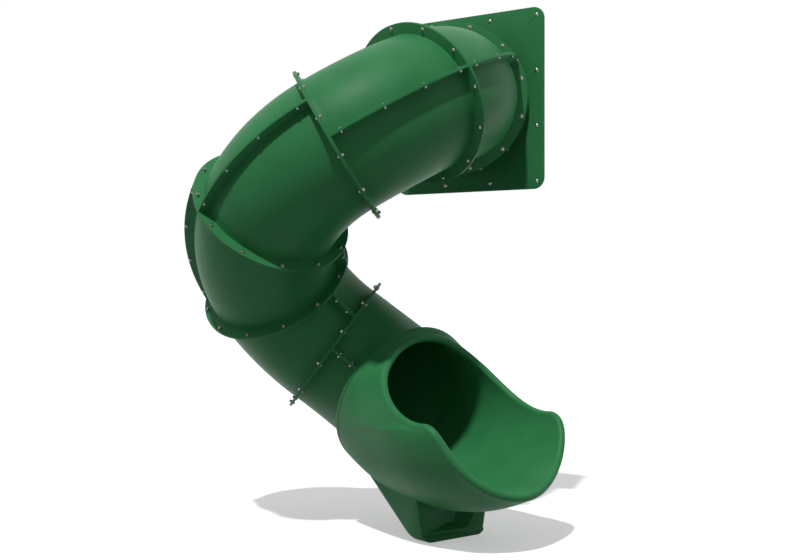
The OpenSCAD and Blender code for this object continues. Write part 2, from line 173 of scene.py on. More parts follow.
def linear(hexColour):
    # sRGB hex to the linear values that a shader takes
    parts = [int(hexColour[i:i + 2], 16) / 255 for i in (1, 3, 5)]
    return tuple(c / 12.92 if c <= 0.04045 else ((c + 0.055) / 1.055) ** 2.4 for c in parts) + (1.0,)


def addNode(tree, kind, links=None, settings=None, values=None):
    # one node with its settings, its values and what feeds it
    made = tree.nodes.new(kind)
    for key, value in (settings or {}).items():
        setattr(made, key, value)
    for key, value in (values or {}).items():
        made.inputs[key].default_value = value
    for key, source in (links or {}).items():
        tree.links.new(source, made.inputs[key])
    return made


def newMaterial(name):
    made = bpy.data.materials.new(name)
    made.use_nodes = True
    made.node_tree.nodes.clear()
    return made


def perMetre(millimetres):
    # pattern scale for a feature of that size
    return 1000 / millimetres


mouldedPe = {"colour": "#327C4B", "colourFrom": 0.62, "shade": "#2C7344", "shadeUpTo": 0.32,
             "roughness": 0.46, "smoothest": -0.03, "roughest": 0.05, "driftLow": 0.3, "driftHigh": 0.7,
             "specular": 0.12, "ior": 1.54, "peelMm": 4.0, "blotchMm": 260.0, "bump": 0.05, "relief": 0.001}
sheetPe = {"colour": "#307848", "pale": "#37804F", "roughness": 0.50, "specular": 0.12, "ior": 1.54,
           "grainMm": 2.2, "scatter": 0.9, "bump": 0.12, "relief": 0.0005}
zincSteel = {"colour": "#9A9F9C", "colourFrom": 0.6, "warm": "#807D72", "warmUpTo": 0.35,
             "roughness": 0.29, "spangleMm": 3.0, "bump": 0.04, "relief": 0.0003}
turnedBrass = {"colour": "#B99A55", "dull": "#93794A", "roughness": 0.32, "markMm": 0.8, "bump": 0.08,
               "relief": 0.0002}


def mouldedPolyethylene():
    # Rotomoulded polyethylene, coloured through: a satin skin with faint orange peel from the
    # mould, and slow drifts in tone where the powder melted thicker or dust has settled.
    made = newMaterial("rotomoulded green polyethylene")
    tree = made.node_tree
    place = addNode(tree, "ShaderNodeTexCoord").outputs["Object"]
    drift = addNode(tree, "ShaderNodeTexNoise", {"Vector": place},
                    values={"Scale": perMetre(mouldedPe["blotchMm"]), "Detail": 3.0, "Roughness": 0.5})
    ramp = addNode(tree, "ShaderNodeValToRGB", {"Fac": drift.outputs[0]})
    ramp.color_ramp.elements[0].position = mouldedPe["shadeUpTo"]
    ramp.color_ramp.elements[0].color = linear(mouldedPe["shade"])
    ramp.color_ramp.elements[1].position = mouldedPe["colourFrom"]
    ramp.color_ramp.elements[1].color = linear(mouldedPe["colour"])
    peel = addNode(tree, "ShaderNodeTexNoise", {"Vector": place},
                   values={"Scale": perMetre(mouldedPe["peelMm"]), "Detail": 2.0})
    bump = addNode(tree, "ShaderNodeBump", {"Height": peel.outputs[0]},
                   values={"Strength": mouldedPe["bump"], "Distance": mouldedPe["relief"]})
    rough = addNode(tree, "ShaderNodeMapRange", {"Value": drift.outputs[0]},
                    values={"From Min": mouldedPe["driftLow"], "From Max": mouldedPe["driftHigh"],
                            "To Min": mouldedPe["roughness"] + mouldedPe["smoothest"],
                            "To Max": mouldedPe["roughness"] + mouldedPe["roughest"]})
    shader = addNode(tree, "ShaderNodeBsdfPrincipled",
                     {"Base Color": ramp.outputs[0], "Roughness": rough.outputs[0], "Normal": bump.outputs[0]},
                     values={"IOR": mouldedPe["ior"], "Specular IOR Level": mouldedPe["specular"]})
    addNode(tree, "ShaderNodeOutputMaterial", {"Surface": shader.outputs[0]})
    return made


def routedSheet():
    # High-density polyethylene sheet, routed to shape: the pressed face has a fine hair-cell
    # grain that spreads the highlight wider than on the moulded parts.
    made = newMaterial("grained green polyethylene sheet")
    tree = made.node_tree
    place = addNode(tree, "ShaderNodeTexCoord").outputs["Object"]
    grain = addNode(tree, "ShaderNodeTexVoronoi", {"Vector": place},
                    values={"Scale": perMetre(sheetPe["grainMm"]), "Randomness": sheetPe["scatter"]})
    ramp = addNode(tree, "ShaderNodeValToRGB", {"Fac": grain.outputs["Distance"]})
    ramp.color_ramp.elements[0].color = linear(sheetPe["pale"])
    ramp.color_ramp.elements[1].color = linear(sheetPe["colour"])
    bump = addNode(tree, "ShaderNodeBump", {"Height": grain.outputs["Distance"]},
                   values={"Strength": sheetPe["bump"], "Distance": sheetPe["relief"]})
    shader = addNode(tree, "ShaderNodeBsdfPrincipled", {"Base Color": ramp.outputs[0], "Normal": bump.outputs[0]},
                     values={"Roughness": sheetPe["roughness"], "IOR": sheetPe["ior"],
                             "Specular IOR Level": sheetPe["specular"]})
    addNode(tree, "ShaderNodeOutputMaterial", {"Surface": shader.outputs[0]})
    return made


def zincPlatedSteel():
    # Steel with a passivated zinc plate: pale grey metal, a little cloudy, with warm patches.
    made = newMaterial("zinc plated steel")
    tree = made.node_tree
    place = addNode(tree, "ShaderNodeTexCoord").outputs["Object"]
    cloud = addNode(tree, "ShaderNodeTexNoise", {"Vector": place},
                    values={"Scale": perMetre(zincSteel["spangleMm"]), "Detail": 3.0})
    ramp = addNode(tree, "ShaderNodeValToRGB", {"Fac": cloud.outputs[0]})
    ramp.color_ramp.elements[0].position = zincSteel["warmUpTo"]
    ramp.color_ramp.elements[0].color = linear(zincSteel["warm"])
    ramp.color_ramp.elements[1].position = zincSteel["colourFrom"]
    ramp.color_ramp.elements[1].color = linear(zincSteel["colour"])
    bump = addNode(tree, "ShaderNodeBump", {"Height": cloud.outputs[0]},
                   values={"Strength": zincSteel["bump"], "Distance": zincSteel["relief"]})
    shader = addNode(tree, "ShaderNodeBsdfPrincipled", {"Base Color": ramp.outputs[0], "Normal": bump.outputs[0]},
                     values={"Metallic": 1.0, "Roughness": zincSteel["roughness"]})
    addNode(tree, "ShaderNodeOutputMaterial", {"Surface": shader.outputs[0]})
    return made


def machinedBrass():
    # Turned brass inserts: a fine uneven tooling mark and a duller tone where the brass has aged.
    made = newMaterial("turned brass")
    tree = made.node_tree
    place = addNode(tree, "ShaderNodeTexCoord").outputs["Object"]
    marks = addNode(tree, "ShaderNodeTexNoise", {"Vector": place},
                    values={"Scale": perMetre(turnedBrass["markMm"]), "Detail": 1.0})
    ramp = addNode(tree, "ShaderNodeValToRGB", {"Fac": marks.outputs[0]})
    ramp.color_ramp.elements[0].color = linear(turnedBrass["dull"])
    ramp.color_ramp.elements[1].color = linear(turnedBrass["colour"])
    bump = addNode(tree, "ShaderNodeBump", {"Height": marks.outputs[0]},
                   values={"Strength": turnedBrass["bump"], "Distance": turnedBrass["relief"]})
    shader = addNode(tree, "ShaderNodeBsdfPrincipled", {"Base Color": ramp.outputs[0], "Normal": bump.outputs[0]},
                     values={"Metallic": 1.0, "Roughness": turnedBrass["roughness"]})
    addNode(tree, "ShaderNodeOutputMaterial", {"Surface": shader.outputs[0]})
    return made


moulded = mouldedPolyethylene()
sheet = routedSheet()
steel = zincPlatedSteel()
brass = machinedBrass()
for nodeName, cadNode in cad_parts.items():
    cadNode.data.materials.clear()
    cadNode.data.materials.append(brass if "inserts" in nodeName else steel if "bolts" in nodeName
                                  or "screws" in nodeName else sheet if nodeName == "entrance_panel" else moulded)
print("materials ready")


# Frames down the tube, as matrices: Z runs down the tube and X to the centre of the next bend

tube = {"outerRadius": 0.387, "wall": 0.008, "flange": 0.008, "flangeRadius": 0.448, "bendRadius": 0.695,
        "bend": 45.0, "firstRoll": 210.0, "spiralRoll": 30.0, "sides": 96, "steps": 24, "spare": 2,
        "rootRound": 0.006, "rootReach": 0.004, "edgeRound": 0.0024, "smoothTo": 35}
collar = {"lead": 0.030, "bendRadius": 0.460, "bend": 34.67, "flangeRadius": 0.4355, "rimFrom": 0.43,
          "steps": 20, "boltRadius": 0.410}
sectionCount = 6


def roll(degrees):
    return Matrix.Rotation(math.radians(degrees), 4, "Z")


def along(distance):
    return Matrix.Translation((0, 0, distance))


def bent(radius, degrees):
    # on round a bend of that radius
    return Matrix.Translation((radius, 0, 0)) @ Matrix.Rotation(math.radians(degrees), 4, "Y") \
        @ Matrix.Translation((-radius, 0, 0))


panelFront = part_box("entrance_panel")[0][1]
collarStart = Matrix.Translation((0, panelFront, 0)) @ Matrix.Rotation(quarterTurn, 4, "X")
joints = [collarStart @ along(collar["lead"]) @ bent(collar["bendRadius"], collar["bend"])]
sectionStarts = []
for section in range(sectionCount):
    turned = tube["firstRoll"] if section == 0 else 0 if section == 1 else tube["spiralRoll"]
    sectionStarts.append(joints[-1] @ roll(turned))
    joints.append(sectionStarts[-1] @ bent(tube["bendRadius"], tube["bend"]))


# The bends: one half shell is shaped and the rest are its copies

def sweepRing(radius, bendRadius, fromDegrees, toDegrees, steps):
    # a bare skin of bent tube; its bend starts at the origin
    start = bent(bendRadius, fromDegrees)
    bpy.ops.mesh.primitive_circle_add(vertices=tube["sides"], radius=radius, location=start.to_translation(),
                                      rotation=start.to_euler())
    piece = added()
    edit(piece)
    bpy.ops.mesh.spin(steps=steps, angle=-math.radians(toDegrees - fromDegrees), center=(bendRadius, 0, 0),
                      axis=(0, 1, 0))
    bpy.ops.mesh.select_all(action="SELECT")
    bpy.ops.mesh.remove_doubles(threshold=slack["merge"])
    return piece


def bisectAway(matrix, outer):
    # cuts across the tube at a frame, and drops what lies before or after it
    bpy.ops.mesh.select_all(action="SELECT")
    bpy.ops.mesh.bisect(plane_co=matrix.to_translation(), plane_no=matrix.to_3x3() @ Vector((0, 0, 1)),
                        clear_outer=outer, clear_inner=not outer)


def widenEnd(matrix, fromRadius, toRadius):
    # draws the tube's open end at a frame out into a flange
    back = matrix.inverted()
    pick("EDGE", lambda e: len(e.link_faces) == 1 and all(
        abs((back @ p).z) < slack["plane"] and (back @ p).xy.length < fromRadius + slack["rim"] for p in ends(e)))
    bpy.ops.mesh.extrude_region_move()
    grow = toRadius / fromRadius
    bpy.ops.transform.resize(value=(grow, grow, grow), center_override=matrix.to_translation())


def faceOutwards(bendRadius):
    # one facing for the whole skin, set by the wall's face that looks straightest out of the bend
    bpy.ops.mesh.select_all(action="SELECT")
    bpy.ops.mesh.normals_make_consistent(inside=False)
    shape = bmesh.from_edit_mesh(bpy.context.edit_object.data)
    axis = Vector((bendRadius, 0, 0))
    walls = [f for f in shape.faces if 0.2 < abs(f.calc_center_median().y) < 0.3]
    outlooks = [f.normal.xz.dot((f.calc_center_median() - axis).xz) for f in walls]
    if max(outlooks, key=abs) < 0:
        bpy.ops.mesh.flip_normals()


def makeHalfShell():
    # the lower half, on local +Y
    flange = tube["flange"]
    radius = tube["outerRadius"]
    bendRadius = tube["bendRadius"]
    firstCut = along(flange)
    lastCut = bent(bendRadius, tube["bend"]) @ along(-flange)
    centre = Vector((bendRadius, 0, 0))

    def fromCentreLine(p):
        # how far a point lies from the line down the middle of the tube
        return Vector(((p - centre).xz.length - bendRadius, p.y)).length

    piece = sweepRing(radius, bendRadius, -tube["spare"], tube["bend"] + tube["spare"], tube["steps"])
    bpy.ops.mesh.select_all(action="SELECT")
    bpy.ops.mesh.bisect(plane_co=(0, flange, 0), plane_no=(0, 1, 0), clear_inner=True)
    seamReach = math.sqrt(radius ** 2 - flange ** 2)
    for side in (1, -1):
        root = bendRadius + side * seamReach
        pick("EDGE", lambda e: all(abs(p.y - flange) < slack["plane"]
                                   and abs((p - centre).xz.length - root) < tube["rootReach"] for p in ends(e)))
        bpy.ops.mesh.extrude_region_move()
        grow = (bendRadius + side * tube["flangeRadius"]) / root
        bpy.ops.transform.resize(value=(grow, 1, grow), center_override=centre)
    bisectAway(firstCut, False)
    bisectAway(lastCut, True)
    for cut in (firstCut, lastCut):
        widenEnd(cut, radius, tube["flangeRadius"])
        back = cut.inverted()
        # the flange's corners come down onto the seam
        pick("VERT", lambda v: abs((back @ v.co).z) < slack["plane"] and v.co.y < flange + slack["rim"]
             and (back @ v.co).xy.length > tube["flangeRadius"] - slack["rim"])
        bpy.ops.transform.resize(value=(1, 0, 1), center_override=(0, flange, 0))
    bpy.ops.mesh.select_all(action="SELECT")
    bpy.ops.mesh.remove_doubles(threshold=slack["facet"])
    faceOutwards(bendRadius)
    bpy.ops.object.mode_set(mode="OBJECT")
    addModifier(piece, "SOLIDIFY", thickness=tube["wall"], offset=-1, use_even_offset=True)
    edit(piece)

    def atRoot(e):
        # where the tube and its flanges meet
        onSeam = all(abs(p.y - flange) < slack["plane"] for p in ends(e))
        onEnd = any(all(abs((cut.inverted() @ p).z) < slack["plane"] for p in ends(e)) for cut in (firstCut, lastCut))
        onTube = all(abs(fromCentreLine(p) - radius) < slack["facet"] for p in ends(e))
        return (onSeam and onTube) or (onEnd and onTube) or (onSeam and onEnd)

    def atRim(e):
        return turnsBy(e, squareEdge) and all(
            fromCentreLine(p) > tube["flangeRadius"] - slack["rim"] for p in ends(e))

    roundEdges(atRoot, tube["rootRound"], 3)
    roundEdges(atRim, tube["edgeRound"], 2)
    bpy.ops.object.mode_set(mode="OBJECT")
    smooth(piece, tube["smoothTo"])
    return piece


def placeSections():
    lowerHalf = makeHalfShell()
    mirrored = Matrix.Scale(-1, 4, (0, 1, 0))
    for section, start in enumerate(sectionStarts, 1):
        finish(placedCopy(lowerHalf, start), f"lowerShell{section}", f"section_{section}_lower", moulded)
        finish(placedCopy(lowerHalf, start @ mirrored), f"upperShell{section}", f"section_{section}_upper",
               moulded)
    discard(lowerHalf)


placeSections()
print("half shells ready")


# The collar between the panel and the first bend

def makeCollar():
    flange = tube["flange"]
    radius = tube["outerRadius"]
    lead = along(collar["lead"])
    lastCut = lead @ bent(collar["bendRadius"], collar["bend"]) @ along(-flange)
    piece = sweepRing(radius, collar["bendRadius"], 0, collar["bend"] + tube["spare"], collar["steps"])
    bpy.ops.transform.translate(value=(0, 0, collar["lead"]))
    bisectAway(lastCut, True)
    pick("EDGE", lambda e: all(abs(p.z - collar["lead"]) < slack["plane"] for p in ends(e)))
    bpy.ops.mesh.extrude_region_move()
    bpy.ops.transform.translate(value=(0, 0, flange - collar["lead"]))
    widenEnd(along(flange), radius, collar["flangeRadius"])
    widenEnd(lastCut, radius, tube["flangeRadius"])
    bpy.ops.mesh.select_all(action="SELECT")
    bpy.ops.mesh.remove_doubles(threshold=slack["plane"])
    faceOutwards(collar["bendRadius"])
    bpy.ops.object.mode_set(mode="OBJECT")
    addModifier(piece, "SOLIDIFY", thickness=tube["wall"], offset=-1, use_even_offset=True)
    edit(piece)
    backs = (along(-flange), lastCut.inverted())

    def atRoot(e):
        return any(all(abs((back @ p).z) < slack["plane"] and abs((back @ p).xy.length - radius) < slack["facet"]
                       for p in ends(e)) for back in backs)

    def atRim(e):
        return turnsBy(e, squareEdge) and max(p.xy.length for p in ends(e)) > collar["rimFrom"]

    roundEdges(atRoot, tube["rootRound"], 3)
    roundEdges(atRim, tube["edgeRound"], 2)
    bpy.ops.object.mode_set(mode="OBJECT")
    piece.data.transform(collarStart)
    smooth(piece, tube["smoothTo"])
    return piece


finish(makeCollar(), "entryCollar", "entry_collar", moulded)
print("collar ready")


# The panel that the deck's posts carry

panel = {"size": 1.067, "corner": 0.070, "cornerSteps": 12, "edgeCuts": 11, "opening": 0.380, "edgeRound": 0.003,
         "boltInset": 0.046, "boltsPerSide": 4, "mountHole": 0.0075, "recess": 0.0115, "recessDepth": 0.00802,
         "boltHole": 0.0055, "holeSides": 32, "smoothTo": 35}
ring = {"count": 12, "radius": 0.427}


def ringPlaces(radius):
    # the places of a joint's bolts, half a pitch away from the seams
    pitch = 360 / ring["count"]
    return [roll((k + 0.5) * pitch) @ Matrix.Translation((radius, 0, 0)) for k in range(ring["count"])]


def mountPlaces():
    # where the deck's bolts pass through the panel
    reach = panel["size"] / 2 - panel["boltInset"]
    last = panel["boltsPerSide"] - 1
    steps = range(panel["boltsPerSide"])
    return [(reach * (2 * i / last - 1), reach * (2 * j / last - 1)) for i in steps for j in steps
            if i in (0, last) or j in (0, last)]


def drill(piece, places, radius, depth):
    # round holes from the panel's back to a depth
    cutters = []
    for x, z in places:
        bpy.ops.mesh.primitive_cylinder_add(vertices=panel["holeSides"], radius=radius, depth=2 * depth,
                                            location=(x, 0, z), rotation=(quarterTurn, 0, 0))
        cutters.append(added())
    cutWith(piece, joined(cutters), "DIFFERENCE")


def makePanel():
    # a rounded square and the round opening are bridged, then thickened and drilled
    low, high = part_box("entrance_panel")
    thickness = high.y - low.y
    bpy.ops.mesh.primitive_plane_add(size=panel["size"], location=(0, high.y, 0), rotation=(quarterTurn, 0, 0))
    piece = added()
    edit(piece)
    bpy.ops.mesh.bevel(offset=panel["corner"], segments=panel["cornerSteps"], affect="VERTICES")
    bpy.ops.mesh.delete(type="ONLY_FACE")
    pick("EDGE", lambda e: (ends(e)[0] - ends(e)[1]).length > panel["corner"])
    bpy.ops.mesh.subdivide(number_cuts=panel["edgeCuts"])
    bpy.ops.mesh.select_all(action="DESELECT")
    bpy.ops.mesh.primitive_circle_add(vertices=tube["sides"], radius=panel["opening"], location=(0, high.y, 0),
                                      rotation=(quarterTurn, 0, 0))
    bpy.ops.mesh.select_all(action="SELECT")
    bpy.ops.mesh.bridge_edge_loops()
    bpy.ops.mesh.select_all(action="SELECT")
    bpy.ops.mesh.normals_make_consistent(inside=False)
    bpy.ops.object.mode_set(mode="OBJECT")
    if piece.data.polygons[0].normal.y < 0:
        piece.data.flip_normals()
    addModifier(piece, "SOLIDIFY", thickness=thickness, offset=-1)
    edit(piece)
    roundEdges(lambda e: turnsBy(e, squareEdge), panel["edgeRound"], 3)
    bpy.ops.object.mode_set(mode="OBJECT")
    collarPlaces = [place.to_translation().xy for place in ringPlaces(collar["boltRadius"])]
    drill(piece, mountPlaces(), panel["mountHole"], 2 * thickness)
    drill(piece, collarPlaces, panel["boltHole"], 2 * thickness)
    drill(piece, collarPlaces, panel["recess"], panel["recessDepth"])
    smooth(piece, panel["smoothTo"])
    return piece


finish(makePanel(), "entrancePanel", "entrance_panel", sheet)
print("panel ready")


# Fasteners: each kind is shaped once, with its head's washer on z = 0 and the stack below it

fastener = {"washer": 0.002, "washerMargin": 0.0015, "chamfer": 0.0003, "nutChamfer": 0.0006,
            "headShare": 0.28, "headRings": (1.0, 0.9, 0.72, 0.5), "socketShare": 0.4, "socketDepth": 0.6,
            "nutCorner": 0.975, "nutHeight": 0.8, "lockRing": 0.75, "lockTop": 1.0, "tail": 1.2,
            "threadPitch": 0.0015, "threadTurns": 4, "threadRoot": 0.84,
            "headSides": 24, "shankSides": 12, "lockSides": 20, "smoothTo": 30}
jointBolt = {"size": 0.010, "head": 0.019, "grip": 0.016}
collarBolt = {"size": 0.010, "head": 0.019, "grip": 0.01898}
seamBolt = {"size": 0.008, "head": 0.0145, "grip": 0.016}
exitScrew = {"size": 0.010, "head": 0.019, "base": 0.002, "reach": 0.033}
panelBolt = {"size": 0.012, "head": 0.024, "base": 0.0, "tail": 0.045}


def domeHead(diameter, base):
    # a low dome with a hexagonal socket, raised ring by ring from a disc
    height = diameter * fastener["headShare"]
    domeRadius = (diameter ** 2 / 4 + height ** 2) / (2 * height)
    socketRadius = diameter * fastener["socketShare"] / 2
    bpy.ops.mesh.primitive_circle_add(vertices=fastener["headSides"], radius=diameter / 2, fill_type="NGON",
                                      location=(0, 0, base))
    piece = added()
    edit(piece)
    reach = [diameter / 2 * share for share in fastener["headRings"]]
    level = [math.sqrt(domeRadius ** 2 - r ** 2) - (domeRadius - height) for r in reach]
    for before in range(len(reach) - 1):
        bpy.ops.mesh.inset(thickness=reach[before] - reach[before + 1], depth=level[before + 1] - level[before])
    bpy.ops.mesh.inset(thickness=reach[-1] - socketRadius, depth=0.0)
    # the innermost ring is drawn out to a hexagon
    socket = bmesh.from_edit_mesh(piece.data)
    side = 360 / 6
    flat = socketRadius * math.cos(math.radians(side / 2))
    for vertex in socket.verts:
        if vertex.select:
            fromFlat = math.degrees(math.atan2(vertex.co.y, vertex.co.x)) % side - side / 2
            vertex.co.xy = vertex.co.xy.normalized() * (flat / math.cos(math.radians(fromFlat)))
    bmesh.update_edit_mesh(piece.data)
    bpy.ops.mesh.extrude_region_move()
    bpy.ops.transform.translate(value=(0, 0, -fastener["socketDepth"] * height))
    pick("EDGE", lambda e: len(e.link_faces) == 1)
    bpy.ops.mesh.edge_face_add()
    bpy.ops.object.mode_set(mode="OBJECT")
    return piece


def disc(radius, top, bottom, sides, chamfer):
    # a washer, or a nut where it has six sides, with its level edges chamfered
    bpy.ops.mesh.primitive_cylinder_add(vertices=sides, radius=radius, depth=top - bottom,
                                        location=(0, 0, (top + bottom) / 2))
    piece = added()
    edit(piece)
    roundEdges(lambda e: turnsBy(e, squareEdge) and abs(ends(e)[0].z - ends(e)[1].z) < slack["merge"], chamfer, 1)
    bpy.ops.object.mode_set(mode="OBJECT")
    return piece


def threadedEnd(size, top, bottom):
    # a shank whose last stretch is drawn in and out as a thread
    pitch = fastener["threadPitch"]
    turns = fastener["threadTurns"]
    bpy.ops.mesh.primitive_circle_add(vertices=fastener["shankSides"], radius=size / 2, fill_type="NGON",
                                      location=(0, 0, top))
    piece = added()
    edit(piece)
    bpy.ops.mesh.extrude_region_move()
    bpy.ops.transform.translate(value=(0, 0, bottom + turns * pitch - top))
    level = bottom + turns * pitch
    for step in range(turns * 2):
        share = fastener["threadRoot"] if step % 2 == 0 else 1 / fastener["threadRoot"]
        bpy.ops.mesh.extrude_region_move()
        bpy.ops.transform.translate(value=(0, 0, -pitch / 2))
        level -= pitch / 2
        bpy.ops.transform.resize(value=(share, share, 1), center_override=(0, 0, level))
    bpy.ops.mesh.select_all(action="SELECT")
    bpy.ops.mesh.normals_make_consistent(inside=False)
    bpy.ops.object.mode_set(mode="OBJECT")
    return piece


def washerDisc(kind, top):
    return disc(kind["head"] / 2 + fastener["washerMargin"], top, top - fastener["washer"], fastener["headSides"],
                fastener["chamfer"])


def throughBolt(kind):
    # head and washer, then past the grip a washer, a nut with its locking ring and the bolt's end
    washer = fastener["washer"]
    size = kind["size"]
    under = -kind["grip"] - washer
    parts = [
        domeHead(kind["head"], washer),
        washerDisc(kind, washer),
        washerDisc(kind, -kind["grip"]),
        disc(size * fastener["nutCorner"], under, under - size * fastener["nutHeight"], 6, fastener["nutChamfer"]),
        disc(size * fastener["lockRing"], under - size * fastener["lockRing"], under - size * fastener["lockTop"],
             fastener["lockSides"], fastener["nutChamfer"]),
        threadedEnd(size, washer, under - size * fastener["tail"]),
    ]
    piece = joined(parts)
    smooth(piece, fastener["smoothTo"])
    return piece


def headedBolt(kind, under):
    # for the deck's posts and for the inserts: a head and a shank, with nothing behind
    parts = [domeHead(kind["head"], kind["base"]), threadedEnd(kind["size"], kind["base"], under)]
    if kind["base"] > 0:
        parts.append(washerDisc(kind, kind["base"]))
    piece = joined(parts)
    smooth(piece, fastener["smoothTo"])
    return piece


seam = {"radius": 0.436, "outerCount": 4, "outerEnd": 0.067, "innerCount": 2, "innerEnd": 0.057}


def seamPlaces():
    # along the outside of the bend, then along its inside
    places = []
    for side, count, end in ((-1, seam["outerCount"], seam["outerEnd"]), (1, seam["innerCount"], seam["innerEnd"])):
        reach = tube["bendRadius"] - side * seam["radius"]
        first = math.degrees(end / reach)
        for k in range(count):
            angle = first + k * (tube["bend"] - 2 * first) / (count - 1)
            places.append(bent(tube["bendRadius"], angle) @ Matrix.Translation((side * seam["radius"], 0, 0))
                          @ Matrix.Rotation(quarterTurn, 4, "X") @ along(tube["flange"]))
    return places


def placeBolts(model, places, name, node):
    finish(joined([placedCopy(model, place) for place in places]), name, node, steel)


def placeFasteners():
    # each kind is modelled once, copied to its places and then dropped
    jointPlaces = ringPlaces(ring["radius"])
    model = throughBolt(jointBolt)
    for joint in range(sectionCount):
        placeBolts(model, [sectionStarts[joint] @ place @ along(tube["flange"]) for place in jointPlaces],
                   f"jointBolts{joint}", f"joint_{joint}_bolts")
    discard(model)
    model = throughBolt(seamBolt)
    for section, start in enumerate(sectionStarts, 1):
        placeBolts(model, [start @ place for place in seamPlaces()], f"seamBolts{section}", f"seam_{section}_bolts")
    discard(model)
    model = throughBolt(collarBolt)
    towardsDeck = Matrix.Rotation(-quarterTurn, 4, "X") @ along(-panel["recessDepth"])
    placeBolts(model, [towardsDeck @ place for place in ringPlaces(collar["boltRadius"])], "collarBolts",
               "collar_bolts")
    discard(model)
    model = headedBolt(exitScrew, -exitScrew["reach"])
    upTheTube = Matrix.Rotation(2 * quarterTurn, 4, "X")
    placeBolts(model, [joints[-1] @ along(-tube["flange"]) @ place @ upTheTube for place in jointPlaces],
               "exitScrews", "exit_screws")
    discard(model)
    model = headedBolt(panelBolt, panelFront - panelBolt["tail"])
    outwards = Matrix.Rotation(quarterTurn, 4, "X")
    placeBolts(model, [Matrix.Translation((x, panelFront, z)) @ outwards for x, z in mountPlaces()], "panelBolts",
               "panel_bolts")
    discard(model)


placeFasteners()
print("fasteners ready")


# The open chute, one closed moulding. Its centre line bends to level and runs on straight.

chute = {"bendRadius": 0.690, "mouthRadius": 0.442, "mouthRise": 0.094, "flareStart": 0.120, "flareEnd": 0.700,
         "rim": 0.024, "archReach": 0.106, "railDrop": 0.073, "railReach": 0.740, "cornerReach": 0.836,
         "cornerDrop": 0.156, "lipReach": 0.988, "belly": 0.090, "bellyFrom": 0.25, "bellyRamp": 1.2,
         "bellyPlace": 1.3, "boreRadius": 0.380, "endDepth": 0.069, "groove": 0.016, "grooveDepth": 0.004,
         "grooveRows": ((0.94, 1), (0.76, 1), (0.70, 0), (0, 0)), "endRound": 0.0025,
         "archSteps": 40, "cornerSteps": 12, "lipSteps": 24, "skinSteps": 22, "rollSteps": 12, "smoothTo": 40}
rimPulls = {"arch": (-0.010, -0.145), "rail": (-0.300, -0.030), "railEnd": (0.045, -0.006), "corner": (-0.024, 0.048),
            "cornerEnd": (0.048, -0.094), "lip": (-0.062, 0.056)}
exitSlope = math.asin(-joints[-1][2][2])
exitHeading = math.atan2(joints[-1][1][2], joints[-1][0][2])
exitFrame = Matrix.Translation(joints[-1].to_translation()) @ Matrix.Rotation(exitHeading, 4, "Z")
levelFrom = chute["bendRadius"] * exitSlope
bendCentre = Vector((math.sin(exitSlope), math.cos(exitSlope))) * chute["bendRadius"]


def steepness(length):
    return max(0.0, exitSlope - length / chute["bendRadius"])


def linePoint(length):
    # a point of the centre line in the side view
    a = steepness(length)
    level = Vector((max(0, length - levelFrom), 0))
    return bendCentre - chute["bendRadius"] * Vector((math.sin(a), math.cos(a))) + level


def sectionPoint(length, across, height):
    # so far down the line, to its side and square above it
    base = linePoint(length)
    a = steepness(length)
    return Vector((base.x + height * math.sin(a), across, base.y + height * math.cos(a)))


def sideToLine(point):
    # a side view point as its length down the line and its height above it
    if point.x >= bendCentre.x:
        return levelFrom + point.x - bendCentre.x, point.y - bendCentre.y + chute["bendRadius"]
    arm = bendCentre - point
    return (exitSlope - math.atan2(arm.x, arm.y)) * chute["bendRadius"], chute["bendRadius"] - arm.length


def opening(length):
    # how far the bore has opened out to the mouth, from 0 to 1
    x = min(1, max(0, (length - chute["flareStart"]) / (chute["flareEnd"] - chute["flareStart"])))
    return x * x * (3 - 2 * x)


def floorRadius(length):
    return chute["boreRadius"] + (chute["mouthRadius"] - chute["boreRadius"]) * opening(length)


def floorRise(length):
    return chute["mouthRise"] * opening(length)


def bezier(p, x):
    # a point of the curve with two ends and two pulls
    return (1 - x) ** 3 * p[0] + 3 * (1 - x) ** 2 * x * p[1] + 3 * (1 - x) * x * x * p[2] + x ** 3 * p[3]


def rimSideView():
    # the rim in the side view: down the arch, round the rail's end and down to the lip
    arch = chute["archReach"]
    top = sectionPoint(arch, 0, floorRadius(arch) + floorRise(arch) + chute["rim"])
    archTop = Vector((top.x, top.z))
    railEnd = Vector((chute["railReach"], -chute["railDrop"]))
    cornerEnd = Vector((chute["cornerReach"], -chute["cornerDrop"]))
    lipLength = sideToLine(Vector((chute["lipReach"], 0)))[0]
    lipEnd = Vector((chute["lipReach"], linePoint(lipLength).y + floorRise(lipLength) - floorRadius(lipLength)
                     - chute["rim"]))
    pulls = {end: Vector(pull) for end, pull in rimPulls.items()}
    archCurve = (archTop, archTop + pulls["arch"], railEnd + pulls["rail"], railEnd)
    cornerCurve = (railEnd, railEnd + pulls["railEnd"], cornerEnd + pulls["corner"], cornerEnd)
    lipCurve = (cornerEnd, cornerEnd + pulls["cornerEnd"], lipEnd + pulls["lip"], lipEnd)
    a, c, s = chute["archSteps"], chute["cornerSteps"], chute["lipSteps"]
    return [bezier(archCurve, (k / a) ** 2) for k in range(a)] + [bezier(cornerCurve, k / c) for k in range(c)] \
        + [bezier(lipCurve, 1 - (1 - k / s) ** 2) for k in range(s + 1)]


def halfRim():
    # the rim as length down the chute and angle round it, from the top
    places = []
    for point in rimSideView():
        length, height = sideToLine(point)
        radius = floorRadius(length) + chute["rim"]
        rise = min(radius, max(-radius, height - floorRise(length)))
        places.append((length, math.acos(rise / radius)))
    return places


rimPlaces = halfRim()
halfCount = len(rimPlaces) - 1
columnCount = 2 * halfCount


def rimAt(k):
    # the rim's place at a column; the columns run round from the top
    i = k % columnCount
    if i <= halfCount:
        return rimPlaces[i]
    return rimPlaces[columnCount - i][0], 2 * math.pi - rimPlaces[columnCount - i][1]


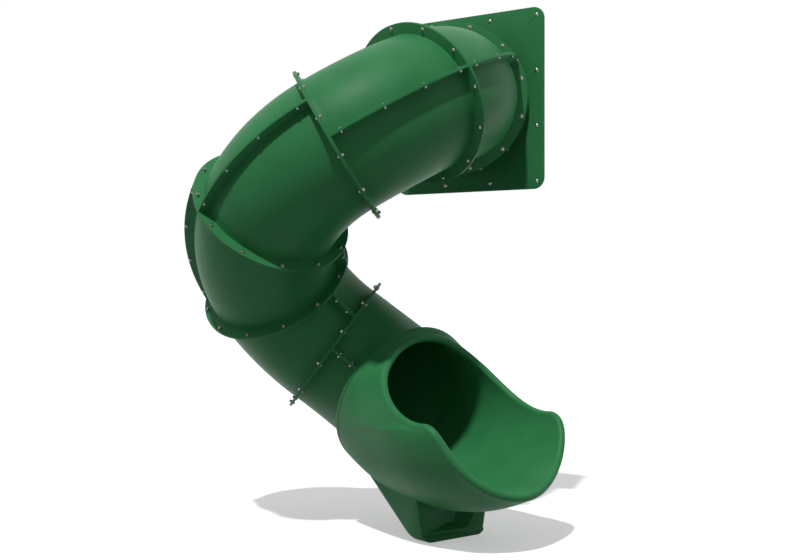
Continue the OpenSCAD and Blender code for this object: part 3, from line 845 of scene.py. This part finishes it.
def skinPoint(length, angle, out):
    # a point at that depth outside the floor
    radius = floorRadius(length) + out
    return sectionPoint(length, radius * math.sin(angle), floorRise(length) + radius * math.cos(angle))


def rimCentre(k):
    return skinPoint(*rimAt(k), chute["rim"])


def columnPoint(k, x, out):
    # x runs from 0 at the joint, where the columns are spaced more evenly, to 1 at the rim
    length, angle = rimAt(k)
    start = (angle + 2 * math.pi * (k % columnCount) / columnCount) / 2
    return skinPoint(length * x, start + (angle - start) * x, out)


def skinDepth(k, x):
    # how far the outside lies from the floor; the underside's belly is deepest halfway down
    under = (chute["bellyFrom"] - math.cos(rimAt(k)[1])) / (1 + chute["bellyFrom"])
    swell = max(0.0, under) ** chute["bellyRamp"] * math.sin(math.pi * x ** chute["bellyPlace"])
    return chute["endDepth"] * (1 - x * x) + 2 * chute["rim"] * x * x + chute["belly"] * swell


def outsideRows(k):
    # back along the outside, then over a fine groove to the end ring
    length = rimAt(k)[0]
    first = chute["groove"] / length
    rows = [first + (1 - first) * j / chute["skinSteps"] for j in range(chute["skinSteps"], -1, -1)]
    points = [columnPoint(k, x, skinDepth(k, x)) for x in rows]
    for share, dip in chute["grooveRows"]:
        x = first * share
        points.append(columnPoint(k, x, skinDepth(k, x) - dip * chute["grooveDepth"]))
    return points


def rollPoint(k, angle):
    # round the rolled rim, from the inside over its crest to the outside
    centre = rimCentre(k)
    out = (skinPoint(*rimAt(k), chute["rim"] + slack["nudge"]) - centre).normalized()
    run = (rimCentre(k + 1) - rimCentre(k - 1)).normalized()
    forward = run.cross(out).normalized()
    return centre - chute["rim"] * math.cos(angle) * out + chute["rim"] * math.sin(angle) * forward


def chuteColumn(k):
    # down the inside from the joint, round the rolled rim and back along the outside
    skin, roll = chute["skinSteps"], chute["rollSteps"]
    return [columnPoint(k, j / skin, 0) for j in range(skin + 1)] \
        + [rollPoint(k, math.pi * j / roll) for j in range(1, roll)] + outsideRows(k)


def makeChute():
    # a grid is laid round the chute, and its two open sides are joined
    rows = len(chutePoints[0])
    bpy.ops.mesh.primitive_grid_add(x_subdivisions=columnCount, y_subdivisions=rows, size=2)
    piece = added()
    for vertex in piece.data.vertices:
        k = round((vertex.co.x + 1) / 2 * columnCount)
        j = round((vertex.co.y + 1) / 2 * rows) % rows
        vertex.co = chutePoints[k % columnCount][j]
    edit(piece)
    bpy.ops.mesh.remove_doubles(threshold=slack["merge"])
    bpy.ops.mesh.normals_make_consistent(inside=False)
    endFacing = Vector((math.cos(exitSlope), 0, -math.sin(exitSlope)))
    roundEdges(lambda e: turnsBy(e, squareEdge) and all(abs(p.dot(endFacing)) < slack["plane"] for p in ends(e)),
               chute["endRound"], 3)
    bpy.ops.object.mode_set(mode="OBJECT")
    piece.data.transform(exitFrame)
    smooth(piece, chute["smoothTo"])
    return piece


chutePoints = [chuteColumn(k) for k in range(columnCount)]
exitChute = makeChute()
finish(exitChute, "exitChute", "exit_chute", moulded)
print("chute ready")


# The foot under the chute, with a toe along its front and a pocket over the toe

foot = {"front": 0.438, "baseLength": 0.082, "root": 0.095, "rootDrop": 0.462, "ground": -0.738, "waist": -0.560,
        "topWidth": 0.500, "baseWidth": 0.434, "corner": 0.050, "edgeRound": 0.010, "roundFrom": 0.45,
        "toe": 0.038, "toeReach": 0.016, "toeFall": 0.014, "back": -0.100, "top": -0.400, "spare": 0.01,
        "smoothTo": 35}
pocket = {"depth": 0.055, "bottom": -0.690, "top": -0.545, "mouth": (-0.196, 0.105, 0.212),
          "floor": (0.000, 0.042, 0.120), "proud": 0.0005, "edgeRound": 0.003, "roundFrom": 0.4}


def footSideView():
    # the foot as seen from the side, as wide as its widest place
    ground, front, top, back = foot["ground"], foot["front"], foot["top"], foot["back"]
    bpy.ops.mesh.primitive_cube_add(size=1, location=((front + back) / 2, 0, (ground + top) / 2),
                                    scale=(front - back, 2 * foot["topWidth"], top - ground))
    piece = added()
    edit(piece)
    bpy.ops.mesh.bisect(plane_co=(0, 0, ground + foot["toe"]), plane_no=(0, 0, 1))
    pick("FACE", lambda f: f.normal.x > 0.99 and f.calc_center_median().z < ground + foot["toe"])
    bpy.ops.mesh.extrude_region_move()
    bpy.ops.transform.translate(value=(foot["toeReach"], 0, 0))
    pick("VERT", lambda v: v.co.x > front + slack["nudge"] and v.co.z > ground + slack["nudge"])
    bpy.ops.transform.translate(value=(0, 0, -foot["toeFall"]))
    heel = Vector((front - foot["baseLength"], 0, ground))
    root = Vector((foot["root"], 0, -foot["rootDrop"]))
    slope = (root - heel).normalized()
    bpy.ops.mesh.select_all(action="SELECT")
    bpy.ops.mesh.bisect(plane_co=heel, plane_no=Vector((0, 1, 0)).cross(slope), use_fill=True, clear_inner=True)
    bpy.ops.mesh.select_all(action="SELECT")
    bpy.ops.mesh.normals_make_consistent(inside=False)
    bpy.ops.object.mode_set(mode="OBJECT")
    return piece


def footFrontView():
    # the foot as seen from the front: leaning sides and round lower corners
    ground, top = foot["ground"], foot["top"] + foot["spare"]
    lean = (foot["topWidth"] - foot["baseWidth"]) / (foot["waist"] - ground)
    grow = 1 + lean * (top - ground) / foot["baseWidth"]
    bpy.ops.mesh.primitive_cube_add(size=1, location=(0, 0, (ground + top) / 2),
                                    scale=(2, foot["baseWidth"], top - ground))
    piece = added()
    edit(piece)
    pick("VERT", lambda v: v.co.z > ground + slack["nudge"])
    bpy.ops.transform.resize(value=(1, grow, 1), center_override=(0, 0, top))
    roundEdges(lambda e: all(abs(p.z - ground) < slack["nudge"] for p in ends(e)) and ends(e)[0].y * ends(e)[1].y > 0,
               foot["corner"], 6)
    bpy.ops.object.mode_set(mode="OBJECT")
    return piece


def footPocket():
    # upright on the left, and widening upwards on the right over a sloping wall
    front, depth = foot["front"], pocket["depth"]
    bpy.ops.mesh.primitive_cube_add(size=2)
    piece = added()
    for vertex in piece.data.vertices:
        inside = vertex.co.x < 0
        left, low, high = pocket["floor"] if inside else pocket["mouth"]
        across = left if vertex.co.y < 0 else low if vertex.co.z < 0 else high
        bottom = pocket["bottom"] + (depth / 2 if inside else 0)
        height = bottom if vertex.co.z < 0 else pocket["top"]
        vertex.co = (front - depth if inside else front + pocket["proud"], across, height)
    return piece


def makeFoot():
    # its outer edges are rounded, then its top is trimmed to the chute's underside
    piece = footSideView()
    cutWith(piece, footFrontView(), "INTERSECT")
    edit(piece)
    roundEdges(lambda e: turnsBy(e, foot["roundFrom"]) and min(p.z for p in ends(e)) < foot["top"] - slack["nudge"],
               foot["edgeRound"], 3)
    bpy.ops.object.mode_set(mode="OBJECT")
    cutWith(piece, footPocket(), "DIFFERENCE")
    edit(piece)

    def atMouth(p):
        return abs(p.x - foot["front"]) < slack["facet"] and p.z > pocket["bottom"] - slack["nudge"] \
            and abs(p.y) < pocket["mouth"][2] + slack["nudge"]

    roundEdges(lambda e: turnsBy(e, pocket["roundFrom"]) and all(atMouth(p) for p in ends(e)), pocket["edgeRound"], 2)
    bpy.ops.object.mode_set(mode="OBJECT")
    piece.data.transform(exitFrame)
    addModifier(piece, "BOOLEAN", object=exitChute, operation="DIFFERENCE", solver="EXACT")
    smooth(piece, foot["smoothTo"])
    return piece


finish(makeFoot(), "exitFoot", "exit_foot", moulded)
print("foot ready")


# Stage, light and camera

stage = {"floorSize": 80.0, "floorBounce": 0.18, "floorTone": 0.92, "floorGlow": 0.40, "sunStrength": 2.5,
         "sunAngle": 2.0, "skyStrength": 0.27}
cameraPlace = {"position": (4.2076, -6.2240, -1.0256), "yaw": 37.274, "lens": 55.32, "sensor": 36, "shiftY": -0.0089}
sunTravel = Vector((-0.194, 0.533, -1.0))


def rayToEye(tree):
    # 1 where the camera sees the surface, directly or in a reflection or through glass
    path = addNode(tree, "ShaderNodeLightPath")
    seen = addNode(tree, "ShaderNodeMath", {0: path.outputs["Is Camera Ray"], 1: path.outputs["Is Glossy Ray"]},
                   {"operation": "MAXIMUM"})
    through = addNode(tree, "ShaderNodeMath", {0: seen.outputs[0], 1: path.outputs["Is Transmission Ray"]},
                      {"operation": "MAXIMUM"})
    return through.outputs[0]


def makeFloor(height):
    # white where the camera sees it, shadows and all; grey in the light that it throws back
    deselectAll()
    bpy.ops.mesh.primitive_plane_add(size=stage["floorSize"], location=(0, 0, height))
    floor = bpy.context.object
    floor.name = "floor"
    made = newMaterial("white studio floor")
    tree = made.node_tree
    bounce = addNode(tree, "ShaderNodeBsdfDiffuse", values={"Color": (stage["floorBounce"],) * 3 + (1,)})
    paper = addNode(tree, "ShaderNodeBsdfDiffuse", values={"Color": (stage["floorTone"],) * 3 + (1,)})
    glow = addNode(tree, "ShaderNodeEmission", values={"Color": (1, 1, 1, 1), "Strength": stage["floorGlow"]})
    white = addNode(tree, "ShaderNodeAddShader", {0: paper.outputs[0], 1: glow.outputs[0]})
    mixed = addNode(tree, "ShaderNodeMixShader",
                    {0: rayToEye(tree), 1: bounce.outputs[0], 2: white.outputs[0]})
    addNode(tree, "ShaderNodeOutputMaterial", {"Surface": mixed.outputs[0]})
    floor.data.materials.append(made)


def makeLights():
    # a soft sky all round, and one high sun behind the camera and a little to its left
    world = bpy.data.worlds.new("studio")
    bpy.context.scene.world = world
    world.use_nodes = True
    tree = world.node_tree
    tree.nodes.clear()
    fill = addNode(tree, "ShaderNodeBackground", values={"Strength": stage["skyStrength"], "Color": (1, 1, 1, 1)})
    backdrop = addNode(tree, "ShaderNodeBackground", values={"Strength": 1.0, "Color": (1, 1, 1, 1)})
    mixed = addNode(tree, "ShaderNodeMixShader",
                    {0: rayToEye(tree), 1: fill.outputs[0], 2: backdrop.outputs[0]})
    addNode(tree, "ShaderNodeOutputWorld", {"Surface": mixed.outputs[0]})
    deselectAll()
    bpy.ops.object.light_add(type="SUN", location=(-3, -6, 8))
    sun = bpy.context.object
    sun.name = "key light"
    sun.data.energy = stage["sunStrength"]
    sun.data.angle = math.radians(stage["sunAngle"])
    sun.rotation_euler = sunTravel.to_track_quat("-Z", "Y").to_euler()


def makeCamera():
    deselectAll()
    bpy.ops.object.camera_add(location=cameraPlace["position"],
                              rotation=(quarterTurn, 0, math.radians(cameraPlace["yaw"])))
    camera = bpy.context.object
    camera.name = "photo view"
    camera.data.sensor_width = cameraPlace["sensor"]
    camera.data.lens = cameraPlace["lens"]
    camera.data.shift_y = cameraPlace["shiftY"]
    bpy.context.scene.camera = camera


makeFloor(cadBox[0][2])
makeLights()
makeCamera()
bpy.context.scene.view_settings.view_transform = "Standard"
print("stage ready")
